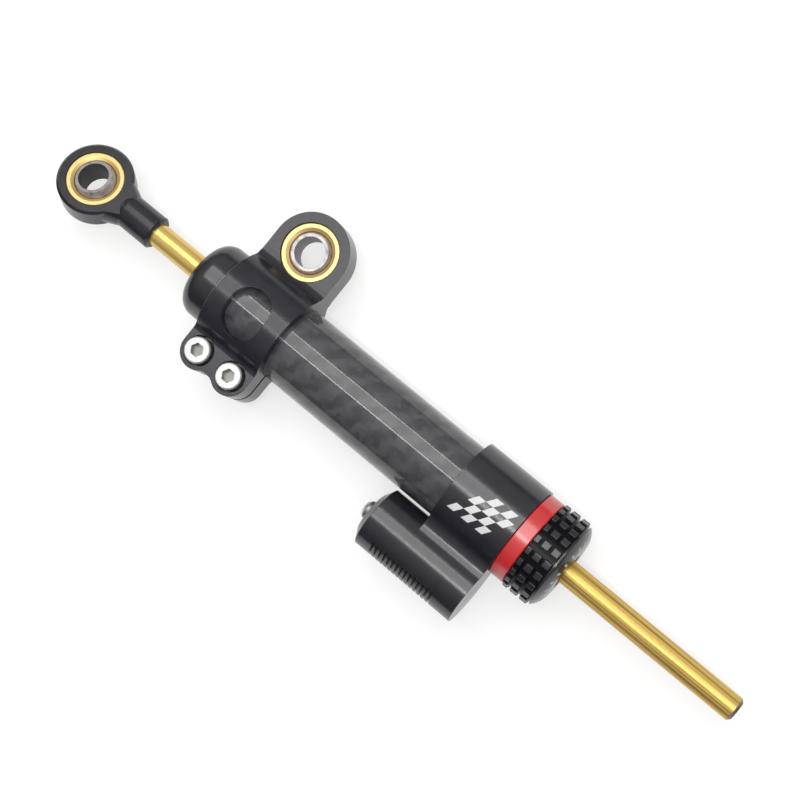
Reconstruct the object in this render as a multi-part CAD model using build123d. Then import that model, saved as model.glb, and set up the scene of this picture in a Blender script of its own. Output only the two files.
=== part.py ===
from build123d import *
import math
import os

# A motorcycle steering damper with a through rod, a clamp bracket and an oil reservoir.
# Millimetres. The origin is the centre of the clamp's bearing. +X runs along the damper to
# the knob, +Y from the tube to the clamp's bearing, +Z along the clamp bearing's bore.

# Layout along the damper
clamp_to_tube = 14.5
end_cap_length = 10.1
housing_length = 23.5
collar_length = 5.3
knob_gap = 0.3
knob_length = 12.3
rod_shown_left = 20.0
rod_shown_right = 63.5
neck_to_eye = 27.0
stroke = 63.0
stroke_right = 15.0
stroke_spare = 1.0

# Sizes across the damper, each wall on the one inside it
rod_diameter = 8.0
bore_diameter = 20.0
liner_wall = 1.4
tube_wall = 1.6
end_cap_step = 0.1
end_cap_fillet = 5.5
housing_wall = 2.5
collar_step = 0.6
collar_wall = 3.9
knob_step = 0.1
clamp_wall = 3.5
lug_reach = 9.45
reservoir_diameter = 20.6
reservoir_wall = 1.8
reservoir_overlap = 1.8

# Spherical bearings, the same in the clamp and in the rod end
bolt_bore_diameter = 10.0
ball_share = 1.5
ball_width_share = 0.9
race_wall = 2.0
race_recess = 0.6
race_land = 1.45
race_bevel_depth = 0.6

# Pose of the rod end in the photograph, in degrees
rod_end_spin = -17.2
rod_ball_tilt = 9.0

# Fits
running_gap = 0.05
close_gap = 0.02
loose_gap = 0.3
overrun = 1.0
edge_chamfer = 0.4
small_chamfer = 0.3

# Places along X that follow from the layout. The tube's length follows further down.
tube_left = -clamp_to_tube
cap_left = tube_left - end_cap_length
neck_right = cap_left - rod_shown_left
eye_centre_x = neck_right - neck_to_eye

# Radii and offsets that follow from the walls
rod_radius = rod_diameter / 2
rod_hole_radius = rod_radius + loose_gap
bore_radius = bore_diameter / 2
liner_radius = bore_radius + liner_wall
tube_radius = liner_radius + tube_wall
end_cap_radius = tube_radius + end_cap_step
housing_radius = tube_radius + housing_wall
collar_radius = housing_radius - collar_step
boss_radius = collar_radius - collar_wall
knob_radius = housing_radius - knob_step
clamp_ring_radius = tube_radius + clamp_wall
lug_offset = clamp_ring_radius + lug_reach
reservoir_radius = reservoir_diameter / 2
reservoir_bore_radius = reservoir_radius - reservoir_wall
reservoir_offset = housing_radius + reservoir_radius - reservoir_overlap
bolt_bore_radius = bolt_bore_diameter / 2
ball_radius = bolt_bore_radius * ball_share
ball_width = bolt_bore_diameter * ball_width_share
race_radius = ball_radius + race_wall
race_width = ball_width - 2 * race_recess
race_bevel_radius = race_radius - race_land

# Glands: the two parts that guide the rod and close the liner
spigot_length = 4.9
rear_spigot_length = 19.4
spigot_radius = bore_radius - running_gap
bush_wall = 1.5
bush_length = 8.4
rod_seal_length = 2.4
seal_pocket_end = 0.6
gland_seal_width = 1.8
gland_seal_depth = 1.4
wiper_wall = 2.0
wiper_depth = 2.2
bush_radius = rod_radius + bush_wall
wiper_radius = rod_radius + wiper_wall

# Piston
piston_length = 11.0
piston_gap = 0.4
band_width = 6.0
band_depth = 1.1
clip_thickness = 1.0
clip_groove_depth = 0.4
clip_wall = 2.2
clip_opening = 4.0
piston_radius = bore_radius - piston_gap
clip_radius = rod_radius + clip_wall

# The liner's chamber is the stroke, the piston with its clips, and a spare at each end. The rear
# gland closes it, and the housing takes the tube's end.
tube_socket_depth = 6.0
chamber_left = tube_left + spigot_length
piston_span = piston_length + 2 * clip_thickness
chamber_right = chamber_left + stroke + piston_span + 2 * stroke_spare
piston_centre = chamber_right - stroke_spare - stroke_right - piston_span / 2
socket_end = chamber_right + rear_spigot_length
housing_left = socket_end - tube_socket_depth
housing_right = housing_left + housing_length
collar_right = housing_right + collar_length
knob_left = collar_right + knob_gap
knob_right = knob_left + knob_length
rod_right = knob_right + rod_shown_right

# Housing inside
gland_flange_length = 3.0
valve_chamber_room = 2.1
valve_chamber_length = 9.8
sleeve_wall = 2.5
boss_short = 0.2
port_radius = 1.2
gland_end = socket_end + gland_flange_length
valve_chamber_end = gland_end + valve_chamber_length
gland_flange_radius = tube_radius - running_gap
sleeve_radius = rod_radius + sleeve_wall
valve_chamber_radius = sleeve_radius + valve_chamber_room

# Reservoir
reservoir_overhang = 13.7
reservoir_web_fillet = 5.5
reservoir_end_wall = 4.0
reservoir_cap_length = 2.0
reservoir_cap_slope = 3.4
reservoir_spigot_length = 5.2
floating_piston_length = 8.0
floating_piston_place = 12.2
rib_count = 15
rib_pitch = 1.64
rib_groove_width = 0.8
rib_groove_depth = 0.8
rib_from_end = 8.4
rib_span_share = 0.8155
filler_head_radius = 3.1
filler_head_height = 2.2
filler_shank_radius = 1.75
filler_shank_length = 5.0
filler_washer_radius = 3.4
filler_washer_thickness = 0.5
reservoir_left = housing_left - reservoir_overhang
rib_half_span = reservoir_radius * rib_span_share
reservoir_bore_end = housing_right - reservoir_end_wall

# Clamp bracket
clamp_width = 25.4
clamp_fit = 0.03
lug_wall = 3.35
lug_thickness = 10.0
lug_drop = 0.4
lug_fillet = 5.0
ear_top = 9.4
ear_bottom = -8.6
ear_fillet = 2.5
ear_lobe_radius = 6.2
ear_dip = 2.05
split_width = 1.4
split_height = 0.6
screw_spacing = 13.0
screw_reach = 2.8
window_width = 13.8
window_length = 17.0
window_corner = 6.6
window_shift_x = -0.2
window_shift_y = -0.8
lug_radius = race_radius + lug_wall
screw_offset = clamp_ring_radius + screw_reach

# Clamp screws, M5 socket head
screw_radius = 2.5
screw_head_radius = 4.25
screw_head_height = 5.0
screw_key = 4.0
screw_key_depth = 2.5
screw_clearance = 0.2
spot_face_radius = 4.9
spot_face_depth = 2.8
screw_end_short = 0.5

# Rod end eye
eye_wall = 3.1
eye_recess = 0.4
eye_edge_chamfer = 0.8
neck_wall = 1.75
neck_end_chamfer = 0.7
flare_root_step = 2.0
flare_root = 4.0
flare_end = 14.7
neck_rise_start = 12.5
rod_in_neck = 12.0
rod_end_chamfer = 1.0
eye_radius = race_radius + eye_wall
eye_thickness = race_width + 2 * eye_recess
flare_root_radius = eye_radius - flare_root_step
neck_radius = rod_radius + neck_wall

# Knob: rows of square teeth, then a dome that carries the dial
tooth_count = 22
slot_share = 0.5
slot_turn = -1.8
tooth_depth = 1.1
first_row_length = 1.6
row_gap = 1.2
tooth_root = 0.5
dome_length = 2.5
dome_shoulder = 0.85
dome_gap = 0.95
dome_start_drop = 0.6
dome_middle_drop = 2.8
dome_end_drop = 6.2
knob_wall = 2.7
knob_wiper_depth = 2.4
detent_ball_radius = 1.25
detent_hole_depth = 4.8
notch_depth = 0.4
notch_length = 2.0
spring_wire_radius = 0.2
spring_turns = 3
wire_sides = 4
dome_start = knob_length - dome_length
row_length = (dome_start - first_row_length - 2 * row_gap - dome_gap) / 2
second_row = first_row_length + row_gap
third_row = second_row + row_length + row_gap
tooth_rows = ((0, first_row_length), (second_row, second_row + row_length),
              (third_row, third_row + row_length))
detent_circle_radius = (sleeve_radius + boss_radius) / 2

# Adjuster sleeve
sleeve_left_gap = 1.4
sleeve_flange_length = 2.5
sleeve_flange_step = 1.7
sleeve_seal_width = 1.4
sleeve_seal_depth = 1.2
sleeve_port_radius = 1.0
port_from_flange = 1.4
sleeve_left = gland_end + sleeve_left_gap
port_x = sleeve_left + sleeve_flange_length + port_from_flange
sleeve_right = knob_right - knob_wall - small_chamfer


def turned(points):
    """A solid turned about the X axis from (x, radius) points."""
    return revolve(make_face(Polyline(*points, close=True)), Axis.X)


def bar(x0, x1, radius):
    """A round bar along X."""
    return turned([(x0, 0), (x0, radius), (x1, radius), (x1, 0)])


def ring(x0, x1, outer, inner):
    """A plain ring along X."""
    return turned([(x0, inner), (x0, outer), (x1, outer), (x1, inner)])


def chamfered_ring(x0, x1, outer, inner, size):
    """A ring along X with its two outer edges chamfered."""
    return turned([(x0, inner), (x0, outer - size), (x0 + size, outer),
                   (x1 - size, outer), (x1, outer - size), (x1, inner)])


def on_axis(shape):
    """Moves a piece from the X axis to the damper's axis."""
    return Pos(0, -lug_offset, 0) * shape


def on_reservoir(shape):
    """Moves a piece from the X axis to the reservoir's axis."""
    return Pos(0, -lug_offset - reservoir_offset, 0) * shape


def round_disc(radius, z0, z1):
    """A disc along Z between two heights."""
    return Pos(0, 0, z0) * extrude(Circle(radius), amount=z1 - z0)


# Barrel

def carbon_tube():
    return on_axis(ring(tube_left, socket_end, tube_radius, liner_radius + running_gap))


def inner_cylinder():
    return on_axis(ring(tube_left, socket_end, liner_radius, bore_radius))


def end_cap():
    body = fillet(bar(cap_left, tube_left, end_cap_radius).edges().sort_by(Axis.X)[0], end_cap_fillet)
    spigot = bar(tube_left, chamber_left, spigot_radius)
    rod_hole = bar(cap_left - overrun, chamber_left + overrun, rod_hole_radius)
    pocket_left = chamber_left - bush_length - rod_seal_length - seal_pocket_end
    pocket = bar(pocket_left, chamber_left + overrun, bush_radius)
    wiper_pocket = bar(cap_left - overrun, cap_left + wiper_depth, wiper_radius)
    groove_left = tube_left + (spigot_length - gland_seal_width) / 2
    groove = ring(groove_left, groove_left + gland_seal_width, spigot_radius + overrun,
                  spigot_radius - gland_seal_depth)
    return on_axis(body + spigot - rod_hole - pocket - wiper_pocket - groove)


def front_seal():
    left = chamber_left - bush_length - rod_seal_length - seal_pocket_end
    return on_axis(ring(left, left + rod_seal_length, bush_radius - close_gap,
                        rod_radius + running_gap))


def front_bush():
    right = chamber_left - seal_pocket_end
    return on_axis(ring(right - bush_length + close_gap, right, bush_radius - close_gap,
                        rod_radius + running_gap))


def front_wiper():
    return on_axis(ring(cap_left, cap_left + wiper_depth, wiper_radius - close_gap,
                        rod_radius + running_gap))


def end_cap_seal():
    left = tube_left + (spigot_length - gland_seal_width) / 2 + close_gap
    return on_axis(ring(left, left + gland_seal_width - 2 * close_gap, spigot_radius,
                        spigot_radius - gland_seal_depth + close_gap))


def rear_gland():
    spigot = bar(chamber_right, socket_end + close_gap, spigot_radius)
    flange = bar(socket_end + close_gap, gland_end - close_gap, gland_flange_radius)
    rod_hole = bar(chamber_right - overrun, gland_end + overrun, rod_hole_radius)
    pocket_right = chamber_right + bush_length + rod_seal_length + seal_pocket_end
    pocket = bar(chamber_right - overrun, pocket_right, bush_radius)
    groove_right = socket_end - gland_seal_width
    groove = ring(groove_right - gland_seal_width, groove_right, spigot_radius + overrun,
                  spigot_radius - gland_seal_depth)
    return on_axis(spigot + flange - rod_hole - pocket - groove)


def rear_seal():
    right = chamber_right + bush_length + rod_seal_length + seal_pocket_end
    return on_axis(ring(right - rod_seal_length, right, bush_radius - close_gap,
                        rod_radius + running_gap))


def rear_bush():
    left = chamber_right + seal_pocket_end
    return on_axis(ring(left, left + bush_length - close_gap, bush_radius - close_gap,
                        rod_radius + running_gap))


def rear_gland_seal():
    right = socket_end - gland_seal_width - close_gap
    return on_axis(ring(right - gland_seal_width + 2 * close_gap, right, spigot_radius,
                        spigot_radius - gland_seal_depth + close_gap))


# Housing with the reservoir cylinder

def housing_outline():
    """The housing's section: two circles with a filleted valley on each side."""
    outline = Circle(housing_radius) + Pos(-reservoir_offset, 0) * Circle(reservoir_radius)
    middle = (reservoir_offset ** 2 + housing_radius ** 2 - reservoir_radius ** 2) / (2 * reservoir_offset)
    valleys = [v for v in outline.vertices() if abs(v.X + middle) < overrun]
    return fillet(valleys, reservoir_web_fillet)


def rib_grooves():
    """Narrow grooves round the reservoir's outer side."""
    cutter = ring(-rib_groove_width / 2, rib_groove_width / 2, reservoir_radius + overrun,
                  reservoir_radius - rib_groove_depth)
    reach = math.sqrt(reservoir_radius ** 2 - rib_half_span ** 2)
    keep = Pos(0, -reach - reservoir_radius, 0) * Box(rib_pitch, 2 * reservoir_radius, 4 * reservoir_radius)
    arc = cutter & keep
    first = housing_right - rib_from_end
    return [Pos(first - rib_pitch * i, 0, 0) * arc for i in range(rib_count)]


def housing():
    outline = Plane.YZ * housing_outline()
    head = Pos(housing_left, 0, 0) * extrude(outline, amount=housing_length)
    low = Pos(0, -reservoir_offset, 0)
    reservoir = low * bar(reservoir_left, housing_left + overrun, reservoir_radius)
    boss = bar(housing_right, collar_right - boss_short, boss_radius)
    body = head + reservoir + boss
    body = body - bar(housing_left - overrun, gland_end, tube_radius + clamp_fit)
    body = body - bar(gland_end - overrun, valve_chamber_end, valve_chamber_radius)
    body = body - bar(valve_chamber_end - overrun, collar_right + overrun, sleeve_radius + running_gap)
    body = body - low * bar(reservoir_left - overrun, reservoir_bore_end, reservoir_bore_radius)
    port = Pos(port_x, -reservoir_offset / 2, 0) * Rot(90, 0, 0) * Cylinder(port_radius, reservoir_offset / 2)
    body = body - port
    detent_x = collar_right - boss_short
    detent = Pos(0, 0, detent_circle_radius) * bar(detent_x - detent_hole_depth, detent_x + overrun,
                                                   detent_ball_radius + running_gap)
    body = body - detent
    for groove in rib_grooves():
        body = body - low * groove
    return on_axis(body)


def collar_ring():
    return on_axis(chamfered_ring(housing_right, collar_right, collar_radius,
                                  boss_radius + close_gap, small_chamfer))


def detent_ball():
    x = knob_left - loose_gap - detent_ball_radius
    return on_axis(Pos(x, 0, detent_circle_radius) * Sphere(detent_ball_radius))


def detent_spring():
    ball_left = knob_left - loose_gap - 2 * detent_ball_radius
    hole_end = collar_right - boss_short - detent_hole_depth
    coil_radius = detent_ball_radius - spring_wire_radius
    length = ball_left - hole_end - 2 * spring_wire_radius
    path = Helix(length / spring_turns, length, coil_radius)
    section = Plane(path @ 0, z_dir=path % 0) * RegularPolygon(spring_wire_radius, wire_sides)
    coil = sweep(section, path=path, is_frenet=True)
    return on_axis(Pos(hole_end + spring_wire_radius, 0, detent_circle_radius) * Rot(0, 90, 0) * coil)


def reservoir_cap():
    left = reservoir_left - reservoir_cap_length
    cone = turned([(left, 0), (left, reservoir_radius - reservoir_cap_slope),
                   (reservoir_left, reservoir_radius), (reservoir_left, 0)])
    spigot = bar(reservoir_left, reservoir_left + reservoir_spigot_length, reservoir_bore_radius - close_gap)
    groove_left = reservoir_left + (reservoir_spigot_length - gland_seal_width) / 2
    groove = ring(groove_left, groove_left + gland_seal_width, reservoir_bore_radius + overrun,
                  reservoir_bore_radius - gland_seal_depth)
    spigot_end = reservoir_left + reservoir_spigot_length
    hole = bar(left - overrun, spigot_end + overrun, filler_shank_radius + close_gap)
    return on_reservoir(cone + spigot - groove - hole)


def reservoir_cap_seal():
    left = reservoir_left + (reservoir_spigot_length - gland_seal_width) / 2 + close_gap
    return on_reservoir(ring(left, left + gland_seal_width - 2 * close_gap,
                             reservoir_bore_radius - close_gap,
                             reservoir_bore_radius - gland_seal_depth + close_gap))


def filler_screw():
    seat = reservoir_left - reservoir_cap_length - filler_washer_thickness
    head = bar(seat - filler_head_height, seat, filler_head_radius)
    head = chamfer(head.edges().sort_by(Axis.X)[0], filler_head_height / 2)
    shank = bar(seat, seat + filler_shank_length, filler_shank_radius)
    socket = extrude(Plane.YZ * RegularPolygon(filler_shank_radius - small_chamfer, 6), amount=overrun)
    return on_reservoir(head + shank - Pos(seat - filler_head_height, 0, 0) * socket)


def filler_washer():
    seat = reservoir_left - reservoir_cap_length
    return on_reservoir(ring(seat - filler_washer_thickness, seat, filler_washer_radius,
                             filler_shank_radius + close_gap))


def floating_piston():
    left = reservoir_left + floating_piston_place
    body = bar(left, left + floating_piston_length, reservoir_bore_radius - running_gap)
    groove_left = left + (floating_piston_length - gland_seal_width) / 2
    groove = ring(groove_left, groove_left + gland_seal_width, reservoir_bore_radius + overrun,
                  reservoir_bore_radius - gland_seal_depth)
    return on_reservoir(body - groove)


def floating_piston_seal():
    left = reservoir_left + floating_piston_place + (floating_piston_length - gland_seal_width) / 2
    return on_reservoir(ring(left + close_gap, left + gland_seal_width - close_gap,
                             reservoir_bore_radius - running_gap,
                             reservoir_bore_radius - gland_seal_depth + close_gap))


# Adjuster

def knob_teeth():
    """Rows of square teeth that stand on the knob's round floor."""
    floor = knob_radius - tooth_depth
    width = 2 * math.pi * knob_radius / tooth_count * slot_share
    blade = Pos(knob_left, 0, knob_radius) * Box(2 * knob_length, width, knob_radius)
    step = 360 / tooth_count
    slots = [Rot(slot_turn + step * i, 0, 0) * blade for i in range(tooth_count)]
    teeth = []
    for start, end in tooth_rows:
        row = ring(knob_left + start, knob_left + end, knob_radius, floor - tooth_root)
        teeth.extend((row - slots).solids())
    return teeth


def click_notches():
    """V notches in the knob's inner face, one for each tooth, which the detent ball clicks into."""
    section = Polyline((knob_left, -notch_depth), (knob_left + notch_depth, 0), (knob_left, notch_depth),
                       (knob_left - overrun, notch_depth), (knob_left - overrun, -notch_depth), close=True)
    notch = extrude(make_face(section), amount=notch_length)
    notch = Pos(0, 0, detent_circle_radius - notch_length / 2) * notch
    step = 360 / tooth_count
    return [Rot(step * i, 0, 0) * notch for i in range(tooth_count)]


def adjuster_knob():
    floor = knob_radius - tooth_depth
    body = bar(knob_left, knob_left + dome_start, floor) + knob_teeth()
    body = body - click_notches()
    start = Vector(knob_left + dome_start, knob_radius - dome_start_drop)
    middle = Vector(knob_right - dome_shoulder, knob_radius - dome_middle_drop)
    end = Vector(knob_right, knob_radius - dome_end_drop)
    edge = ThreePointArc(start, middle, end)
    edge = edge + Polyline(end, (knob_right, 0), (knob_left + dome_start, 0), start)
    body = body + revolve(make_face(edge), Axis.X)
    body = body - bar(knob_left - overrun, knob_right - knob_wall, sleeve_radius + close_gap)
    body = body - bar(knob_left, knob_right + overrun, rod_radius + small_chamfer)
    body = body - bar(knob_right - knob_wiper_depth, knob_right + overrun, wiper_radius)
    return on_axis(body)


def knob_wiper():
    return on_axis(ring(knob_right - knob_wiper_depth, knob_right, wiper_radius - close_gap,
                        rod_radius + running_gap))


def adjuster_sleeve():
    body = bar(sleeve_left, sleeve_right, sleeve_radius)
    flange = bar(sleeve_left, sleeve_left + sleeve_flange_length, sleeve_radius + sleeve_flange_step)
    hole = bar(sleeve_left - overrun, sleeve_right + overrun, rod_hole_radius)
    groove_left = valve_chamber_end + sleeve_seal_width
    groove = ring(groove_left, groove_left + sleeve_seal_width, sleeve_radius + overrun,
                  sleeve_radius - sleeve_seal_depth)
    port = Pos(port_x, 0, 0) * Rot(90, 0, 0) * Cylinder(sleeve_port_radius, 4 * sleeve_radius)
    return on_axis(body + flange - hole - groove - port)


def sleeve_seal():
    left = valve_chamber_end + sleeve_seal_width + close_gap
    return on_axis(ring(left, left + sleeve_seal_width - 2 * close_gap, sleeve_radius,
                        sleeve_radius - sleeve_seal_depth + close_gap))


# Rod and piston

def piston_rod():
    left = neck_right - rod_in_neck
    rod = turned([(left, 0), (left, rod_radius), (rod_right - rod_end_chamfer, rod_radius),
                  (rod_right, rod_radius - rod_end_chamfer), (rod_right, 0)])
    for side in (-1, 1):
        middle = piston_centre + side * (piston_length + clip_thickness) / 2
        rod = rod - ring(middle - clip_thickness / 2, middle + clip_thickness / 2,
                         rod_radius + overrun, rod_radius - clip_groove_depth)
    return on_axis(rod)


def piston():
    left = piston_centre - piston_length / 2
    body = chamfered_ring(left + close_gap, left + piston_length - close_gap, piston_radius,
                          rod_radius + close_gap, edge_chamfer)
    groove_half = band_width / 2 + running_gap
    groove = ring(piston_centre - groove_half, piston_centre + groove_half, bore_radius + overrun,
                  bore_radius - band_depth - 2 * running_gap)
    return on_axis(body - groove)


def piston_clips():
    """The two open clips that hold the piston on the rod."""
    clips = []
    for side in (-1, 1):
        middle = piston_centre + side * (piston_length + clip_thickness) / 2
        half = clip_thickness / 2 - close_gap
        clip = ring(middle - half, middle + half, clip_radius, rod_radius - clip_groove_depth + close_gap)
        mouth = Pos(middle, 0, -clip_radius) * Box(2 * clip_thickness, clip_opening, clip_radius)
        clips.append(on_axis(clip - mouth))
    return Compound(children=clips)


def piston_band():
    return on_axis(ring(piston_centre - band_width / 2, piston_centre + band_width / 2,
                        bore_radius - running_gap, bore_radius - band_depth - running_gap))


# Spherical bearings, built round the Z axis

def bearing_race():
    half = race_width / 2
    socket = ball_radius + clamp_fit
    lip = half - race_bevel_depth
    lip_radius = math.sqrt(socket ** 2 - lip ** 2)
    body = round_disc(race_radius, -half, half)
    body = chamfer(body.edges(), small_chamfer)
    body = body - Sphere(socket)
    cone = Cone(lip_radius, race_bevel_radius, race_bevel_depth)
    middle = lip + race_bevel_depth / 2
    return body - Pos(0, 0, middle) * cone - Pos(0, 0, -middle) * Rot(180, 0, 0) * cone


def bearing_ball():
    body = Sphere(ball_radius) & Box(2 * ball_radius, 2 * ball_radius, ball_width)
    return body - Cylinder(bolt_bore_radius, ball_width + 2 * overrun)


# Rod end

def rod_end_place():
    return Pos(eye_centre_x, -lug_offset, 0) * Rot(rod_end_spin, 0, 0)


def rod_end_eye():
    half = eye_thickness / 2
    barrel = chamfer(round_disc(eye_radius, -half, half).edges(), eye_edge_chamfer)
    flare = turned([(flare_root, 0), (flare_root, flare_root_radius),
                    (flare_end, neck_radius), (flare_end, 0)])
    flare = flare & Box(4 * eye_radius, 4 * eye_radius, eye_thickness)
    shaft = turned([(neck_rise_start, 0), (neck_rise_start, half), (flare_end, neck_radius),
                    (neck_to_eye, neck_radius), (neck_to_eye, 0)])
    shaft = chamfer(shaft.edges().sort_by(Axis.X)[-1], neck_end_chamfer)
    body = barrel + flare + shaft
    body = body - round_disc(race_radius + close_gap, -2 * half, 2 * half)
    socket_left = neck_to_eye - rod_in_neck - small_chamfer
    body = body - bar(socket_left, neck_to_eye + overrun, rod_radius + close_gap)
    return rod_end_place() * body


def rod_end_race():
    return rod_end_place() * bearing_race()


def rod_end_ball():
    return rod_end_place() * Rot(0, -rod_ball_tilt, 0) * bearing_ball()


# Clamp bracket

def clamp_section():
    """The bracket seen along the tube: ring, lug and ears. Its centre is the tube's axis."""
    section = Circle(clamp_ring_radius)
    lug_length = lug_offset + lug_radius
    section = section + Pos(lug_length / 2, -lug_drop) * Rectangle(lug_length, lug_thickness)
    ear_length = screw_offset + ear_lobe_radius
    ear_height = ear_top - ear_bottom
    ear_middle = (ear_top + ear_bottom) / 2
    section = section + Pos(-ear_length / 2, ear_middle) * Rectangle(ear_length, ear_height)
    on_ring = [v for v in section.vertices() if abs(math.hypot(v.X, v.Y) - clamp_ring_radius) < close_gap]
    lug_corners = [v for v in on_ring if v.X > overrun]
    section = fillet(lug_corners, lug_fillet)
    on_ring = [v for v in section.vertices() if abs(math.hypot(v.X, v.Y) - clamp_ring_radius) < close_gap]
    ear_corners = [v for v in on_ring if v.X < -overrun]
    return fillet(ear_corners, ear_fillet)


def clamp_outline():
    """The bracket seen along the bearing's bore. Its centre is the bearing's centre."""
    half = clamp_width / 2
    ear_half = screw_spacing / 2 + ear_lobe_radius
    ring_top = clamp_ring_radius - lug_offset
    ring_bottom = -clamp_ring_radius - lug_offset
    ear_y = -lug_offset - screw_offset
    blend = lug_radius - half
    outline = Circle(lug_radius)
    plate = Polyline((-lug_radius, 0), (-lug_radius, ring_top - blend), (-half, ring_top),
                     (-half, ring_bottom + lug_fillet), (-ear_half, ring_bottom),
                     (-ear_half, ear_y), (ear_half, ear_y), (ear_half, ring_bottom),
                     (half, ring_bottom + lug_fillet), (half, ring_top),
                     (lug_radius, ring_top - blend), (lug_radius, 0), close=True)
    outline = outline + make_face(plate)
    lobe_x = screw_spacing / 2
    rise = ear_lobe_radius - ear_dip
    dip_radius = (lobe_x ** 2 + rise ** 2 - ear_lobe_radius ** 2) / (2 * (ear_lobe_radius - rise))
    dip_y = ear_y - rise - dip_radius
    share = ear_lobe_radius / (ear_lobe_radius + dip_radius)
    touch_x = lobe_x * (1 - share)
    touch_y = ear_y + (dip_y - ear_y) * share
    outline = outline + make_face(Polyline((-lobe_x, ear_y), (lobe_x, ear_y), (touch_x, touch_y),
                                           (-touch_x, touch_y), close=True))
    outline = outline + Pos(-lobe_x, ear_y) * Circle(ear_lobe_radius)
    outline = outline + Pos(lobe_x, ear_y) * Circle(ear_lobe_radius)
    return outline - Pos(0, dip_y) * Circle(dip_radius)


def clamp_bracket():
    width = clamp_width + 2 * overrun
    height = 2 * (clamp_ring_radius + overrun)
    section = Plane.YZ * clamp_section()
    body = on_axis(Pos(-width / 2, 0, 0) * extrude(section, amount=width))
    body = body & Pos(0, 0, -height / 2) * extrude(clamp_outline(), amount=height)
    body = body - round_disc(race_radius + close_gap, -height, height)
    body = body - on_axis(bar(-width, width, tube_radius + clamp_fit))
    ear_length = screw_offset + 2 * ear_lobe_radius - tube_radius + overrun
    split_y = -tube_radius + overrun - ear_length / 2
    body = body - on_axis(Pos(0, split_y, split_height) * Box(width, ear_length, split_width))
    window = RectangleRounded(window_width, window_length, window_corner)
    window = Pos(window_shift_x, window_shift_y, ear_bottom + height / 2) * extrude(window, amount=height)
    body = body - on_axis(window)
    for side in (-1, 1):
        place = Pos(side * screw_spacing / 2, -lug_offset - screw_offset, 0)
        body = body - place * round_disc(spot_face_radius, ear_top - spot_face_depth, height)
        body = body - place * round_disc(screw_radius + screw_clearance, split_height, height)
        body = body - place * round_disc(screw_radius + close_gap, -height, split_height)
    return body


def clamp_screws():
    """The two socket head screws that close the clamp."""
    screws = []
    seat = ear_top - spot_face_depth
    top = seat + screw_head_height
    for side in (-1, 1):
        head = round_disc(screw_head_radius, seat, top)
        head = chamfer(head.edges().sort_by(Axis.Z)[-1], edge_chamfer)
        shank = round_disc(screw_radius, ear_bottom + screw_end_short, seat)
        corner_radius = screw_key / 2 / math.cos(math.pi / 6)
        hexagon = RegularPolygon(corner_radius, 6)
        socket = Pos(0, 0, top - screw_key_depth) * extrude(hexagon, amount=screw_head_height)
        place = Pos(side * screw_spacing / 2, -lug_offset - screw_offset, 0)
        screws.append(place * (head + shank - socket))
    return Compound(children=screws)


def clamp_race():
    return bearing_race()


def clamp_ball():
    return bearing_ball()


pieces = (carbon_tube, inner_cylinder, end_cap, front_seal, front_bush, front_wiper, end_cap_seal,
          rear_gland, rear_seal, rear_bush, rear_gland_seal, housing, collar_ring, detent_ball,
          detent_spring, reservoir_cap, reservoir_cap_seal, filler_screw, filler_washer,
          floating_piston, floating_piston_seal, adjuster_knob, knob_wiper, adjuster_sleeve,
          sleeve_seal, piston_rod, piston, piston_clips, piston_band, rod_end_eye, rod_end_race,
          rod_end_ball, clamp_bracket, clamp_screws, clamp_race, clamp_ball)

os.makedirs("parts", exist_ok=True)
for piece in pieces:
    shape = piece()
    export_step(shape, "parts/" + piece.__name__ + ".step")
    print(piece.__name__, round(shape.volume, 1), "mm3")
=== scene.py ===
import bpy
import math
from mathutils import Matrix, Vector


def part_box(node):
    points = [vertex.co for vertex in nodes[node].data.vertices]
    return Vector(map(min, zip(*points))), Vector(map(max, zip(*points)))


# A motorcycle steering damper, lying on a white table. Metres, in the frame of the CAD part:
# +X runs along the damper to the knob, +Z is up, and the origin is the clamp bearing's centre.

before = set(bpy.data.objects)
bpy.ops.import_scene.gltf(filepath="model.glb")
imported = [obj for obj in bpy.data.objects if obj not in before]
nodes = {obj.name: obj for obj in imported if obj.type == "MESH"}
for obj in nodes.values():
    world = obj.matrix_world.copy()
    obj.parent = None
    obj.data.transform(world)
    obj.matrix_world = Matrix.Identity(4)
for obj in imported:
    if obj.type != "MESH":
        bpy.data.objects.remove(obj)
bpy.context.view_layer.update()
scene = bpy.context.scene

# Camera
camera_place = (0.15292, -0.00317, 0.49180)
camera_right = (0.75712, 0.62821, -0.17924)
camera_up = (-0.62085, 0.77729, 0.10185)
camera_back = (0.20330, 0.03417, 0.97852)
focal_length = 73.53
sensor_width = 36.0
shift_right = 0.0063
shift_up = 0.0076
near_clip = 0.01
far_clip = 20.0

# Table: its glow grows towards its edges, so that they fade into the white behind it
table_height = -0.0166
table_half = 0.45
table_dark = (0.45, 0.45, 0.45)
table_light = (0.4545, 0.4545, 0.4545)
table_cloud_scale = 3.0
table_glow = 0.62
table_edge_glow = 1.0
table_edge_start = 0.30
table_edge_full = 0.43

# Room: how bright it is, from low on the -Y side to high on the +Y side, and at the horizon
room_dark = 0.16
room_bright = 0.55
room_lean = 0.4
room_full = 0.75
horizon_dark = 0.2
horizon_low = -0.05
horizon_high = 0.22

# Lamps over the table, their width along X
lamp_aim = (0.05, -0.026, 0.0)
box_lamp = {"place": (-0.05, 0.185, 0.80), "width": 0.72, "depth": 0.44, "radiance": 2.5}
near_strip = {"place": (0.06, -0.066, 0.80), "width": 0.80, "depth": 0.036, "radiance": 11.0}
near_end_strip = {"place": (0.22, -0.068, 0.799), "width": 0.46, "depth": 0.05, "radiance": 12.0}
far_strip = {"place": (-0.09, 0.430, 0.76), "width": 0.62, "depth": 0.03, "radiance": 9.0}

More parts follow.
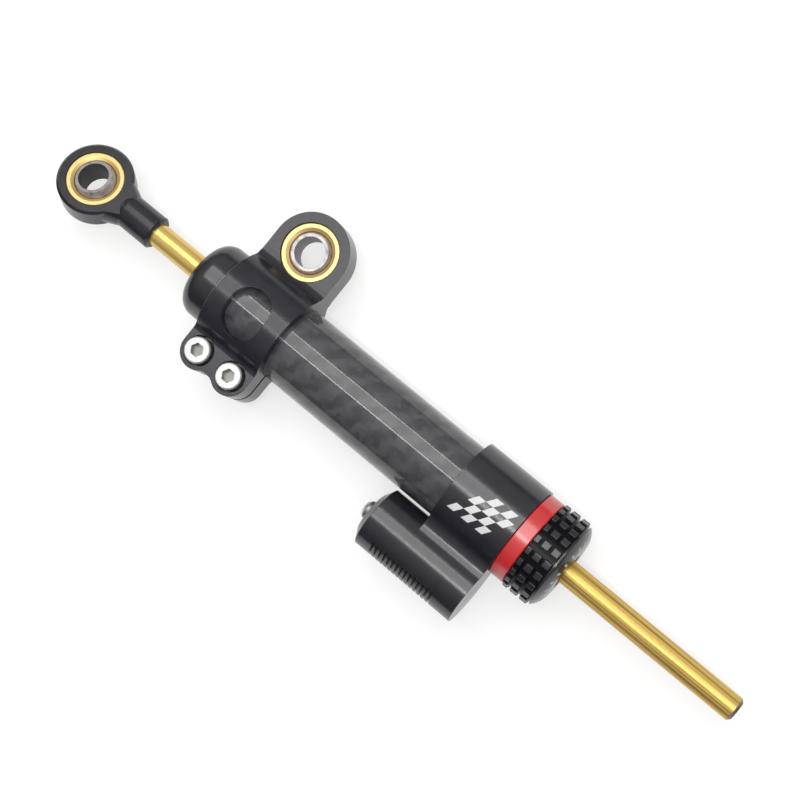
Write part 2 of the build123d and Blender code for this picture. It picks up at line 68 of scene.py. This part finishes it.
# Places on the damper, from the nodes
bare_tip_length = 0.0010
tube_low, tube_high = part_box("carbon_tube")
_, rod_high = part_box("piston_rod")
housing_low, housing_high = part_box("housing")
reservoir_low, reservoir_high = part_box("reservoir_cap")
knob_low, knob_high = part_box("adjuster_knob")
_, screws_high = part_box("clamp_screws")
filler_low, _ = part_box("filler_screw")
eye_low, eye_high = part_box("rod_end_ball")
damper_y = (tube_low.y + tube_high.y) / 2
tube_radius = (tube_high.z - tube_low.z) / 2
housing_radius = (housing_high.z - housing_low.z) / 2
reservoir_y = (reservoir_low.y + reservoir_high.y) / 2
reservoir_radius = (reservoir_high.z - reservoir_low.z) / 2
knob_radius = (knob_high.z - knob_low.z) / 2
bare_tip_start = rod_high.x - bare_tip_length

# The two bearings: the free eye leans about X, and its ball tilts in it
eye_lean = math.radians(17.2)
eye_ball_tilt = math.radians(9.0)
eye_centre = (eye_low + eye_high) / 2
eye_axis = Vector((0.0, math.sin(eye_lean), math.cos(eye_lean)))
eye_ball_axis = math.cos(eye_ball_tilt) * eye_axis - Vector((math.sin(eye_ball_tilt), 0.0, 0.0))
clamp_centre = Vector((0.0, 0.0, 0.0))
clamp_axis = Vector((0.0, 0.0, 1.0))

# Finishes: the values between which most of a noise lies, and the rounding that edges show
noise_low = 0.3
noise_high = 0.7
edge_round = 0.00022
white = (1.0, 1.0, 1.0, 1.0)


def make_camera():
    data = bpy.data.cameras.new("camera")
    data.lens = focal_length
    data.sensor_width = sensor_width
    data.shift_x = shift_right
    data.shift_y = shift_up
    data.clip_start = near_clip
    data.clip_end = far_clip
    camera = bpy.data.objects.new("camera", data)
    scene.collection.objects.link(camera)
    turn = Matrix((camera_right, camera_up, camera_back)).transposed().to_4x4()
    camera.matrix_world = Matrix.Translation(camera_place) @ turn
    scene.camera = camera
    scene.view_settings.view_transform = "Standard"


class Shading:
    """A node material under construction. Values of sockets that are the same all over come by name."""

    def __init__(self, name, **values):
        self.material = bpy.data.materials.new(name)
        self.material.use_nodes = True
        self.tree = self.material.node_tree
        self.shader = self.tree.nodes["Principled BSDF"]
        for socket, value in values.items():
            self.shader.inputs[socket.replace("_", " ")].default_value = value

    def node(self, kind, **settings):
        made = self.tree.nodes.new("ShaderNode" + kind)
        for key, value in settings.items():
            setattr(made, key, value)
        return made

    def link(self, start, end):
        self.tree.links.new(start, end)

    def fill(self, socket, value):
        """Gives a node's socket a link, a fixed colour or a fixed number."""
        if hasattr(value, "is_linked"):
            self.link(value, socket)
        elif isinstance(value, tuple):
            socket.default_value = (*value, 1.0)
        else:
            socket.default_value = value

    def drive(self, socket, value):
        """Links a value that changes over the surface to a socket of the shader."""
        self.link(value, self.shader.inputs[socket])

    def driver_of(self, socket):
        """What a socket of the shader is linked to."""
        return self.shader.inputs[socket].links[0].from_socket

    def place(self):
        """The point on the surface, in metres in the CAD frame."""
        return self.node("TexCoord").outputs["Object"]

    def split(self, vector):
        node = self.node("SeparateXYZ")
        self.link(vector, node.inputs["Vector"])
        return node.outputs["X"], node.outputs["Y"], node.outputs["Z"]

    def joined(self, x, y, z):
        node = self.node("CombineXYZ")
        for socket, value in zip(node.inputs, (x, y, z)):
            self.fill(socket, value)
        return node.outputs["Vector"]

    def maths(self, operation, first, second=0.0):
        """Arithmetic on sockets or numbers."""
        node = self.node("Math", operation=operation)
        self.fill(node.inputs[0], first)
        self.fill(node.inputs[1], second)
        return node.outputs["Value"]

    def plus(self, first, second):
        return self.maths("ADD", first, second)

    def minus(self, first, second):
        return self.maths("SUBTRACT", first, second)

    def times(self, first, second):
        return self.maths("MULTIPLY", first, second)

    def over(self, first, second):
        return self.maths("DIVIDE", first, second)

    def distance(self, first, second):
        """How far a point is from an axis, from its two parts across that axis."""
        return self.maths("SQRT", self.plus(self.times(first, first), self.times(second, second)))

    def noise(self, vector, scale, detail):
        texture = self.node("TexNoise")
        self.link(vector, texture.inputs["Vector"])
        texture.inputs["Scale"].default_value = scale
        texture.inputs["Detail"].default_value = detail
        return texture.outputs["Fac"]

    def streaks(self, stretch, detail):
        """A noise with its own scale along each of X, Y and Z."""
        mapping = self.node("Mapping")
        self.link(self.place(), mapping.inputs["Vector"])
        mapping.inputs["Scale"].default_value = stretch
        return self.noise(mapping.outputs["Vector"], 1.0, detail)

    def ramp(self, value, *stops):
        """Colours by value: stops are (place, colour)."""
        ramp = self.node("ValToRGB")
        self.link(value, ramp.inputs["Fac"])
        points = ramp.color_ramp.elements
        while len(points) < len(stops):
            points.new(1.0)
        for point, (place, colour) in zip(points, stops):
            point.position = place
            point.color = (*colour, 1.0)
        return ramp.outputs["Color"]

    def tones(self, noise, dark, light):
        """A noise turned into colours between two."""
        return self.ramp(noise, (noise_low, dark), (noise_high, light))

    def span(self, value, low, high, to_low=0.0, to_high=1.0):
        """A value moved from one range to another, and held at its ends."""
        node = self.node("MapRange")
        self.link(value, node.inputs["Value"])
        for socket, number in (("From Min", low), ("From Max", high), ("To Min", to_low), ("To Max", to_high)):
            self.fill(node.inputs[socket], number)
        return node.outputs["Result"]

    def spread(self, noise, to_low, to_high):
        """A noise turned into numbers between two."""
        return self.span(noise, noise_low, noise_high, to_low, to_high)

    def within(self, value, low, high, soft):
        """One between two values and nought outside, with soft edges."""
        rise = self.span(value, low - soft, low + soft)
        fall = self.span(value, high - soft, high + soft, 1.0, 0.0)
        return self.times(rise, fall)

    def mix(self, kind, share, first, second):
        """A mix of two sockets or fixed values, which are both of the kind Color or the kind Float."""
        node = self.node("Mix", data_type={"Color": "RGBA", "Float": "FLOAT"}[kind])
        inputs = {socket.identifier: socket for socket in node.inputs}
        outputs = {socket.identifier: socket for socket in node.outputs}
        self.fill(inputs["Factor_Float"], share)
        self.fill(inputs["A_" + kind], first)
        self.fill(inputs["B_" + kind], second)
        return outputs["Result_" + kind]

    def bump(self, height, depth, edge=0.0):
        """Fine relief, with the light that a slightly rounded edge catches."""
        node = self.node("Bump")
        if edge:
            rounding = self.node("Bevel")
            rounding.inputs["Radius"].default_value = edge
            self.link(rounding.outputs["Normal"], node.inputs["Normal"])
        node.inputs["Distance"].default_value = depth
        self.link(height, node.inputs["Height"])
        self.drive("Normal", node.outputs["Normal"])

    def from_axis(self, centre, axis):
        """The distance from a bearing's axis."""
        arm = self.node("VectorMath", operation="SUBTRACT")
        self.link(self.place(), arm.inputs[0])
        arm.inputs[1].default_value = centre
        turn = self.node("VectorMath", operation="CROSS_PRODUCT")
        self.link(arm.outputs["Vector"], turn.inputs[0])
        turn.inputs[1].default_value = axis
        length = self.node("VectorMath", operation="LENGTH")
        self.link(turn.outputs["Vector"], length.inputs[0])
        return length.outputs["Value"]

    def round_damper(self, radius):
        """A point on a cylinder round the damper's axis: along X, and round from the top to -Y."""
        x, y, z = self.split(self.place())
        angle = self.maths("ARCTAN2", self.minus(damper_y, y), z)
        return x, self.times(angle, radius)


def black_turned(name="black_turned", rounding=edge_round):
    """Black anodising over turned metal, with fine lines round the damper's axis."""
    dark = (0.010, 0.010, 0.014)
    light = (0.018, 0.018, 0.024)
    cloud_scale = 220.0
    line_stretch = (7000.0, 90.0, 90.0)
    line_depth = 0.0000012
    smooth, rough = 0.19, 0.24
    s = Shading(name, IOR=1.65)
    lines = s.streaks(line_stretch, detail=2.0)
    s.drive("Base Color", s.tones(s.noise(s.place(), cloud_scale, detail=3.0), dark, light))
    s.drive("Roughness", s.spread(lines, smooth, rough))
    s.bump(lines, line_depth, rounding)
    return s


def paint_groove_shade(s, open_share):
    """Paints shade down in the grooves of a black finish: a darker colour and less gloss."""
    groove_shade_specular = 0.06
    open_specular = 0.5
    groove_shade_black = (0.005, 0.005, 0.006)
    # Painted shade: less gloss and a near-black colour where open_share is low, in the grooves.
    s.drive("Specular IOR Level", s.span(open_share, 0.0, 1.0, groove_shade_specular, open_specular))
    s.drive("Base Color", s.mix("Color", open_share, groove_shade_black, s.driver_of("Base Color")))


def marked(s, marks, tone):
    """Etched marks over a black finish: pale, and dull."""
    grain_scale = 2600.0
    grain_lift = 1.1
    dull = 0.55
    lifted = tuple(grain_lift * part for part in tone)
    etched = s.tones(s.noise(s.place(), grain_scale, detail=1.0), tone, lifted)
    s.drive("Base Color", s.mix("Color", marks, s.driver_of("Base Color"), etched))
    s.drive("Roughness", s.mix("Float", marks, s.driver_of("Roughness"), dull))


def chequer(s):
    """Slanted white checks, etched in rows on the top of the housing."""
    width = 0.0027
    height = 0.0029
    slant = 0.69
    start = 0.0895
    columns = 5
    first_row = -0.0043
    rows = 4
    soft = 0.03
    middle = 0.5
    x, around = s.round_damper(housing_radius)
    column = s.over(s.minus(s.plus(x, s.times(around, slant)), start), width)
    row = s.over(s.minus(around, first_row), height)
    checks = s.node("TexChecker")
    s.link(s.joined(column, row, middle), checks.inputs["Vector"])
    checks.inputs["Scale"].default_value = 1.0
    in_columns = s.within(column, soft, columns - soft, soft)
    in_rows = s.within(row, soft, rows - soft, soft)
    return s.times(checks.outputs["Fac"], s.times(in_columns, in_rows))


def black_housing():
    """The housing's finish, with painted shade between the reservoir's ribs, and the etched chequer."""
    groove_start = 0.0001
    groove_full = 0.0003
    first_groove = 0.0732
    last_groove = 0.0976
    chequer_tone = (0.70, 0.70, 0.69)
    s = black_turned("black_housing")
    x, y, z = s.split(s.place())
    reach = s.distance(s.minus(y, reservoir_y), z)
    inside = s.span(reach, reservoir_radius - groove_full, reservoir_radius - groove_start, 1.0, 0.0)
    among_ribs = s.within(x, first_groove, last_groove, groove_start)
    # Painted shade in the grooves between the reservoir's ribs.
    paint_groove_shade(s, s.minus(1.0, s.times(inside, among_ribs)))
    marked(s, chequer(s), chequer_tone)
    return s


def scale_marks(s, across, z, reach, face):
    """Short pale strokes on the knob's end face, in a ring round the rod."""
    count = 22
    inner = 0.0108
    outer = 0.0124
    half_width = 0.12
    side_soft = 0.03
    end_soft = 0.00005
    turn = s.over(s.maths("ARCTAN2", across, z), 2 * math.pi / count)
    off_middle = s.maths("ABSOLUTE", s.minus(s.maths("FRACT", s.plus(turn, count)), 0.5))
    stroke = s.span(off_middle, half_width, half_width + side_soft, 1.0, 0.0)
    return s.times(s.within(reach, inner, outer, end_soft), s.times(face, stroke))


def black_knob():
    """The knob's finish, with painted shade in the pits between its teeth, and a scale on its end face."""
    tooth_round = 0.0004
    pit_depth = 0.0005
    face_depth = 0.0030
    scale_tone = (0.55, 0.55, 0.55)
    s = black_turned("black_knob", tooth_round)
    x, y, z = s.split(s.place())
    across = s.minus(y, damper_y)
    reach = s.distance(across, z)
    face = s.maths("GREATER_THAN", x, knob_high.x - face_depth)
    shallow = s.span(reach, knob_radius - 2 * pit_depth, knob_radius - pit_depth)
    # Painted shade in the pits between the teeth; the end face is left open.
    paint_groove_shade(s, s.maths("MAXIMUM", shallow, face))
    marked(s, scale_marks(s, across, z, reach, face), scale_tone)
    return s


def black_milled():
    """Black anodising over milled metal, with a fine even grain."""
    dark = (0.014, 0.014, 0.019)
    light = (0.022, 0.022, 0.028)
    cloud_scale = 240.0
    grain_scale = 5200.0
    grain_depth = 0.0000003
    smooth, rough = 0.20, 0.26
    s = Shading("black_milled", IOR=1.52)
    grain = s.noise(s.place(), grain_scale, detail=1.0)
    s.drive("Base Color", s.tones(s.noise(s.place(), cloud_scale, detail=3.0), dark, light))
    s.drive("Roughness", s.spread(grain, smooth, rough))
    s.bump(grain, grain_depth, edge_round)
    return s


def red_anodised():
    """Red anodising over turned metal."""
    dark = (0.58, 0.012, 0.015)
    light = (0.66, 0.020, 0.023)
    line_stretch = (6000.0, 60.0, 60.0)
    line_depth = 0.0000015
    smooth, rough = 0.22, 0.27
    s = Shading("red_anodised", IOR=1.85)
    lines = s.streaks(line_stretch, detail=2.0)
    s.drive("Base Color", s.tones(lines, dark, light))
    s.drive("Roughness", s.spread(lines, smooth, rough))
    s.bump(lines, line_depth, edge_round)
    return s


def gold_ground():
    """The rod's finish: streaks along it, stronger past the knob, and a bare tip."""
    fresh_dark = (0.74, 0.50, 0.14)
    fresh_light = (0.86, 0.60, 0.19)
    worn_stops = (0.34, (0.42, 0.24, 0.055)), (0.48, (0.66, 0.43, 0.10)), (0.66, (0.84, 0.62, 0.21))
    tip_tone = (0.16, 0.14, 0.13)
    tip_soft = 0.0001
    streak_stretch = (14.0, 2400.0, 2400.0)
    streak_depth = 0.000008
    fresh_metal, worn_metal = 0.58, 0.70
    smooth, rough = 0.18, 0.26
    worn_rough = 0.16
    s = Shading("gold_rod")
    x, _, _ = s.split(s.place())
    streaks = s.streaks(streak_stretch, detail=3.0)
    past_knob = s.span(x, knob_low.x, knob_high.x)
    at_tip = s.span(x, bare_tip_start - tip_soft, bare_tip_start + tip_soft)
    gold = s.mix("Color", past_knob, s.tones(streaks, fresh_dark, fresh_light), s.ramp(streaks, *worn_stops))
    s.drive("Base Color", s.mix("Color", at_tip, gold, tip_tone))
    s.drive("Metallic", s.span(past_knob, 0.0, 1.0, fresh_metal, worn_metal))
    s.drive("Roughness", s.plus(s.spread(streaks, smooth, rough), s.times(past_knob, worn_rough)))
    s.bump(streaks, streak_depth)
    return s


def carbon_twill():
    """Twill under a clear coat: soft slanted patches in rows round the tube."""
    row = 0.0059
    row_share = 0.6
    patch = 0.0086
    slant = 0.7
    wander_scale = 240.0
    wander_reach = 0.0022
    dark_stop = (0.15, (0.050, 0.050, 0.054))
    light_stop = (0.85, (0.086, 0.086, 0.091))
    dark_rough, light_rough = 0.46, 0.34
    crest = 1.0 + row_share
    s = Shading("carbon_twill", IOR=1.5, Specular_IOR_Level=0.12, Coat_Weight=1.0, Coat_Roughness=0.07,
                Coat_IOR=1.52)
    x, around = s.round_damper(tube_radius)
    wander = s.spread(s.noise(s.place(), wander_scale, detail=2.0), -wander_reach, wander_reach)
    along = s.plus(s.plus(x, wander), s.times(around, slant))
    patches = s.maths("SINE", s.times(along, 2 * math.pi / patch))
    rows = s.maths("SINE", s.times(s.plus(around, wander), 2 * math.pi / row))
    weave = s.plus(patches, s.times(rows, row_share))
    s.drive("Base Color", s.ramp(s.span(weave, -crest, crest), dark_stop, light_stop))
    s.drive("Roughness", s.span(weave, -crest, crest, dark_rough, light_rough))
    return s


def gold_turned(name, centre, axis, bevel_shade_tone):
    """A race's gold: pale on its land, with painted shade on its bevel and painted shade, nearly black, round
    the ball.
    """
    land_radius = 0.00800
    gap_radius = 0.00684
    soft = 0.0002
    pale_dark = (0.82, 0.64, 0.25)
    pale_light = (0.92, 0.75, 0.33)
    gap_shade_tone = (0.03, 0.02, 0.015)
    grain_scale = 900.0
    smooth, rough = 0.36, 0.48
    s = Shading(name, Metallic=0.75)
    grain = s.noise(s.place(), grain_scale, detail=3.0)
    reach = s.from_axis(centre, axis)
    on_land = s.span(reach, land_radius - soft, land_radius)
    past_gap = s.span(reach, gap_radius, gap_radius + soft)
    # Painted shade: a darker tone on the bevel, and nearly black inside the gap radius where the race meets
    # the ball.
    land_or_bevel_shade = s.mix("Color", on_land, bevel_shade_tone, s.tones(grain, pale_dark, pale_light))
    s.drive("Base Color", s.mix("Color", past_gap, gap_shade_tone, land_or_bevel_shade))
    s.drive("Roughness", s.spread(grain, smooth, rough))
    return s


def bearing_steel(name, centre, axis, bore_shade_tone):
    """A bearing ball's steel: light outside with worn patches, and painted shade in the bore round its own
    axis.
    """
    bore_radius = 0.00505
    soft = 0.00004
    wear_scale = 420.0
    wear_stops = (0.30, (0.26, 0.24, 0.24)), (0.42, (0.41, 0.39, 0.385)), (0.70, (0.53, 0.51, 0.505))
    bore_smooth, bore_rough = 0.55, 0.60
    worn_rough, clean_rough = 0.46, 0.34
    s = Shading(name, Metallic=0.7)
    wear = s.noise(s.place(), wear_scale, detail=4.0)
    outside = s.span(s.from_axis(centre, axis), bore_radius, bore_radius + soft)
    in_bore = s.spread(wear, bore_smooth, bore_rough)
    on_ball = s.spread(wear, worn_rough, clean_rough)
    # Painted shade: a darker tone in the bore.
    s.drive("Base Color", s.mix("Color", outside, bore_shade_tone, s.ramp(wear, *wear_stops)))
    s.drive("Roughness", s.mix("Float", outside, in_bore, on_ball))
    return s


def screw_zinc(name, axis, face, inward):
    """A screw's bright finish, with painted shade, a dull grey, inside the socket in its head.

    The screw lies along the axis X, Y or Z, its head ends at face, and inward is 1 or -1 into the head.
    """
    socket_start = 0.0006
    socket_full = 0.0009
    socket_shade_tone = (0.28, 0.28, 0.26)
    dark = (0.56, 0.56, 0.55)
    light = (0.70, 0.70, 0.69)
    grain_scale = 1400.0
    smooth, rough = 0.34, 0.46
    s = Shading(name, Metallic=0.8)
    grain = s.noise(s.place(), grain_scale, detail=3.0)
    along = dict(zip("XYZ", s.split(s.place())))[axis]
    depth = s.times(s.minus(along, face), inward)
    in_socket = s.span(depth, socket_start, socket_full)
    # Painted shade: a dull grey tone inside the socket.
    s.drive("Base Color", s.mix("Color", in_socket, s.tones(grain, dark, light), socket_shade_tone))
    s.drive("Roughness", s.spread(grain, smooth, rough))
    return s


def plain(name, dark, light, smooth, metallic=1.0):
    """A plain finish for the pieces inside and the rubber seals, a metal's unless metallic says otherwise."""
    grain_scale = 1100.0
    rougher = 0.1
    s = Shading(name, Metallic=metallic)
    grain = s.noise(s.place(), grain_scale, detail=3.0)
    s.drive("Base Color", s.tones(grain, dark, light))
    s.drive("Roughness", s.spread(grain, smooth, smooth + rougher))
    return s


def dress(shading, slot, *names):
    """Gives CAD nodes their material."""
    for name in names:
        node = nodes[name]
        node.data.materials.clear()
        node.data.materials.append(shading.material)


def dress_outside():
    dress(black_turned(), "black_anodised", "end_cap", "reservoir_cap")
    dress(black_housing(), "black_anodised", "housing")
    dress(black_knob(), "black_anodised", "adjuster_knob")
    dress(black_milled(), "black_anodised", "rod_end_eye", "clamp_bracket")
    dress(red_anodised(), "red_anodised", "collar_ring")
    dress(gold_ground(), "gold_rod", "piston_rod")
    dress(carbon_twill(), "carbon_fibre", "carbon_tube")
    clamp_zinc = screw_zinc("clamp_screw_zinc", axis="Z", face=screws_high.z, inward=-1.0)
    dress(clamp_zinc, "screw_steel", "clamp_screws")
    filler_zinc = screw_zinc("filler_screw_zinc", axis="X", face=filler_low.x, inward=1.0)
    dress(filler_zinc, "screw_steel", "filler_screw")


def dress_bearings():
    """The races and balls of the two bearings, with painted shade on the bevels and in the bores: the free
    eye's bore is painted dark, the clamp's lighter.
    """
    # Painted shade: the bevel and bore tones of each bearing.
    eye_bevel_shade = (0.66, 0.44, 0.16)
    eye_bore_shade = (0.075, 0.075, 0.073)
    clamp_bevel_shade = (0.60, 0.40, 0.18)
    clamp_bore_shade = (0.30, 0.29, 0.30)
    dress(gold_turned("rod_end_gold", eye_centre, eye_axis, eye_bevel_shade), "gold_race", "rod_end_race")
    dress(gold_turned("clamp_gold", clamp_centre, clamp_axis, clamp_bevel_shade), "gold_race", "clamp_race")
    eye_steel = bearing_steel("rod_end_steel", eye_centre, eye_ball_axis, eye_bore_shade)
    dress(eye_steel, "bearing_steel", "rod_end_ball")
    clamp_steel = bearing_steel("clamp_steel", clamp_centre, clamp_axis, clamp_bore_shade)
    dress(clamp_steel, "bearing_steel", "clamp_ball")


def dress_metal_inside():
    bare = plain("bare_aluminium", dark=(0.62, 0.62, 0.63), light=(0.74, 0.74, 0.75), smooth=0.30)
    steel = plain("ball_steel", dark=(0.55, 0.55, 0.56), light=(0.68, 0.68, 0.69), smooth=0.20)
    spring = plain("spring_steel", dark=(0.42, 0.42, 0.44), light=(0.55, 0.55, 0.57), smooth=0.25)
    bronze = plain("bush_bronze", dark=(0.50, 0.36, 0.20), light=(0.64, 0.48, 0.30), smooth=0.40)
    dress(bare, "bare_aluminium", "inner_cylinder", "rear_gland", "piston", "floating_piston",
          "adjuster_sleeve")
    dress(steel, "bearing_steel", "detent_ball")
    dress(spring, "spring_steel", "detent_spring", "piston_clips")
    dress(bronze, "bush_bronze", "front_bush", "rear_bush")


def dress_rubber_and_plastic():
    band = plain("guide_plastic", dark=(0.12, 0.10, 0.08), light=(0.18, 0.15, 0.12), smooth=0.50, metallic=0.0)
    rubber = plain("seal_rubber", dark=(0.015, 0.015, 0.015), light=(0.026, 0.026, 0.026), smooth=0.55,
                   metallic=0.0)
    dress(band, "guide_plastic", "piston_band")
    dress(rubber, "seal_rubber", "front_seal", "front_wiper", "end_cap_seal", "rear_seal", "rear_gland_seal",
          "reservoir_cap_seal", "filler_washer", "floating_piston_seal", "knob_wiper", "sleeve_seal")


def make_table():
    """The white table. Its glow is seen by the camera and in reflections, and lights nothing."""
    mesh = bpy.data.meshes.new("table")
    corners = [(-table_half, -table_half, table_height), (table_half, -table_half, table_height),
               (table_half, table_half, table_height), (-table_half, table_half, table_height)]
    mesh.from_pydata(corners, [], [(0, 1, 2, 3)])
    table = bpy.data.objects.new("table", mesh)
    scene.collection.objects.link(table)
    s = Shading("table_white", Roughness=1.0, Specular_IOR_Level=0.0, Emission_Color=white)
    s.drive("Base Color", s.tones(s.noise(s.place(), table_cloud_scale, detail=2.0), table_dark, table_light))
    path = s.node("LightPath")
    mirrored = s.maths("MAXIMUM", path.outputs["Is Glossy Ray"], path.outputs["Is Transmission Ray"])
    seen = s.maths("MAXIMUM", path.outputs["Is Camera Ray"], mirrored)
    x, y, _ = s.split(s.place())
    glow = s.span(s.distance(x, y), table_edge_start, table_edge_full, table_glow, table_edge_glow)
    s.drive("Emission Strength", s.times(seen, glow))
    mesh.materials.append(s.material)


class Sky(Shading):
    """The same helpers for the world's nodes."""

    def __init__(self, world):
        self.tree = world.node_tree


def make_world():
    """A room that is darker low down and on the -Y side, and white behind the table."""
    world = bpy.data.worlds.new("studio")
    scene.world = world
    world.use_nodes = True
    s = Sky(world)
    back = world.node_tree.nodes["Background"]
    back.inputs["Color"].default_value = white
    _, y, z = s.split(s.node("TexCoord").outputs["Generated"])
    walls = s.span(s.plus(z, s.times(y, room_lean)), 0.0, room_full, room_dark, room_bright)
    low = s.span(z, horizon_low, horizon_high, horizon_dark, 1.0)
    path = s.node("LightPath")
    seen = s.maths("MAXIMUM", s.times(walls, low), path.outputs["Is Camera Ray"])
    s.link(seen, back.inputs["Strength"])


def area_light(name, place, width, depth, radiance):
    """A soft box that shines towards the damper."""
    data = bpy.data.lights.new(name, "AREA")
    data.shape = "RECTANGLE"
    data.size = width
    data.size_y = depth
    data.energy = radiance * math.pi * width * depth
    light = bpy.data.objects.new(name, data)
    scene.collection.objects.link(light)
    back = (Vector(place) - Vector(lamp_aim)).normalized()
    up = back.cross(Vector((1.0, 0.0, 0.0))).normalized()
    side = up.cross(back)
    light.matrix_world = Matrix.Translation(place) @ Matrix((side, up, back)).transposed().to_4x4()


make_camera()
make_table()
make_world()
area_light("soft_box", **box_lamp)
area_light("strip_near", **near_strip)
area_light("strip_near_end", **near_end_strip)
area_light("strip_far", **far_strip)
dress_outside()
dress_bearings()
dress_metal_inside()
dress_rubber_and_plastic()
